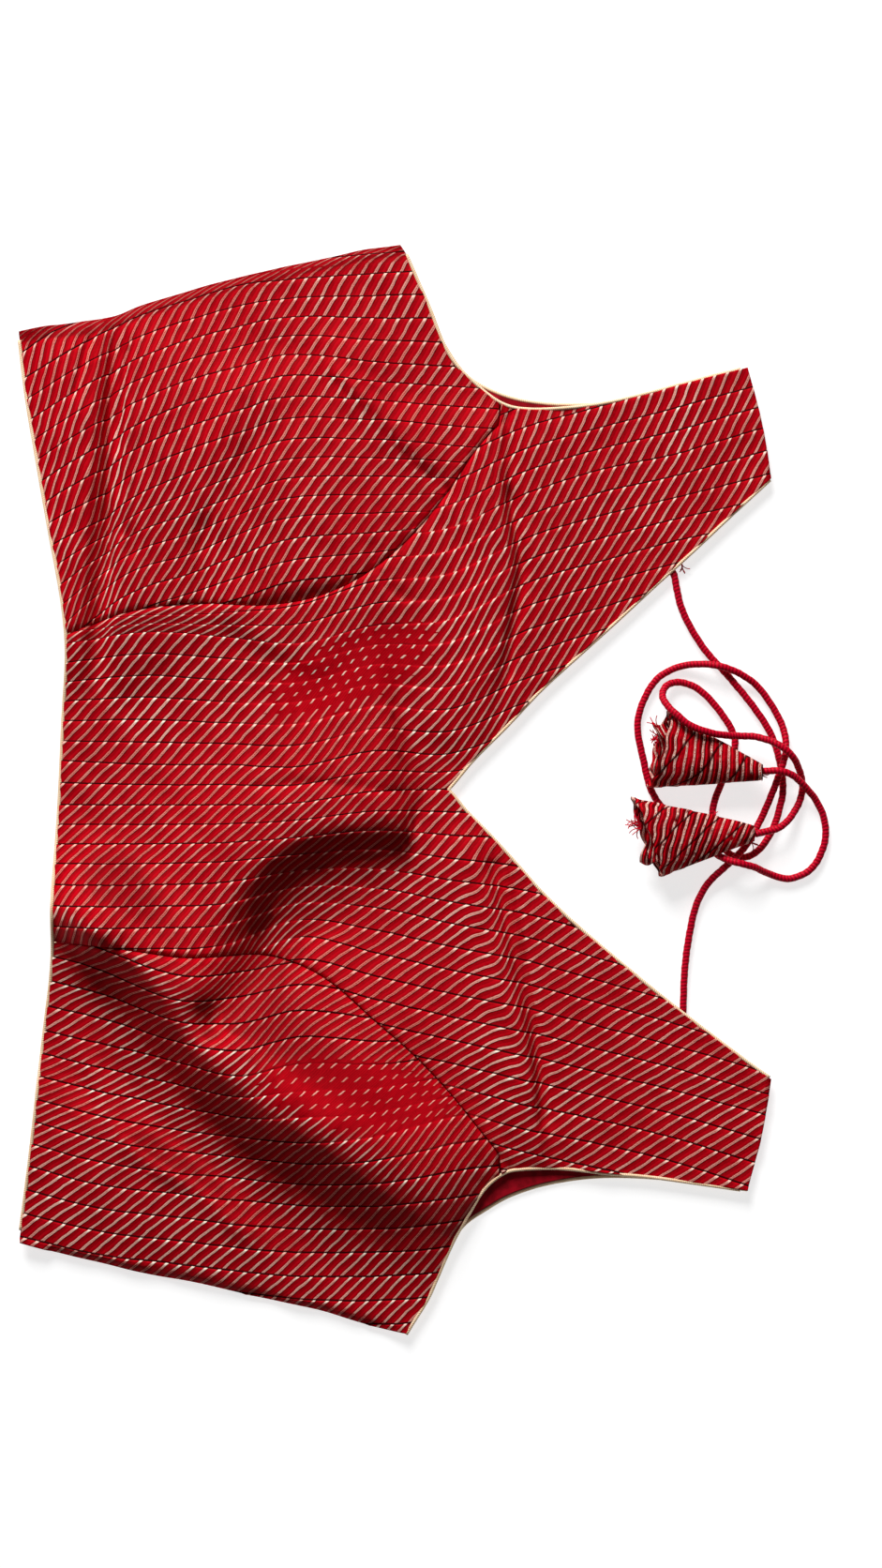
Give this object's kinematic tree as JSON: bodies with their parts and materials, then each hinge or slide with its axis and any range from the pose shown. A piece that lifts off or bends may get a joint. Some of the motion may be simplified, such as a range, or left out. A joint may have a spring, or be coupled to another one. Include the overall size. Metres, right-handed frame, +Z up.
{
  "type": "sari blouse",
  "caption": "Short sleeveless sari blouse of tucked silk with slanting metallic stripes, a V neck, piped edges and tie cords that end in cloth cones, laid flat front up.",
  "frame": {"origin": "on the surface that the blouse lies on, under the middle of the box round the garment without its cords", "axes": "+X from the hem towards the shoulders, +Y towards the wearer's right side, +Z up from the surface"},
  "size_m": [0.3628, 0.4877, 0.0354],
  "materials": {
    "silk": "red silk with gold zari stripes, soft sheen",
    "back_silk": "plain red silk",
    "lining": "matt red lining",
    "piping": "gold ribbed piping",
    "dori": "red satin tube"
  },
  "bodies": {
    "root": {"front_centre": "silk", "side_front_right": "silk", "side_front_left": "silk", "back_right": "back_silk", "back_left": "back_silk", "back_lining_right": "lining", "back_lining_left": "lining", "piping_hem_front": "piping", "piping_hem_back": "piping", "piping_neck_front": "piping", "piping_neck_back": "piping", "piping_armhole_front_right": "piping", "piping_armhole_front_left": "piping", "piping_armhole_back_right": "piping", "piping_armhole_back_left": "piping", "dori_right": "dori", "dori_left": "dori", "latkan_upper": "silk", "latkan_lower": "silk"}
  },
  "joints": []
}
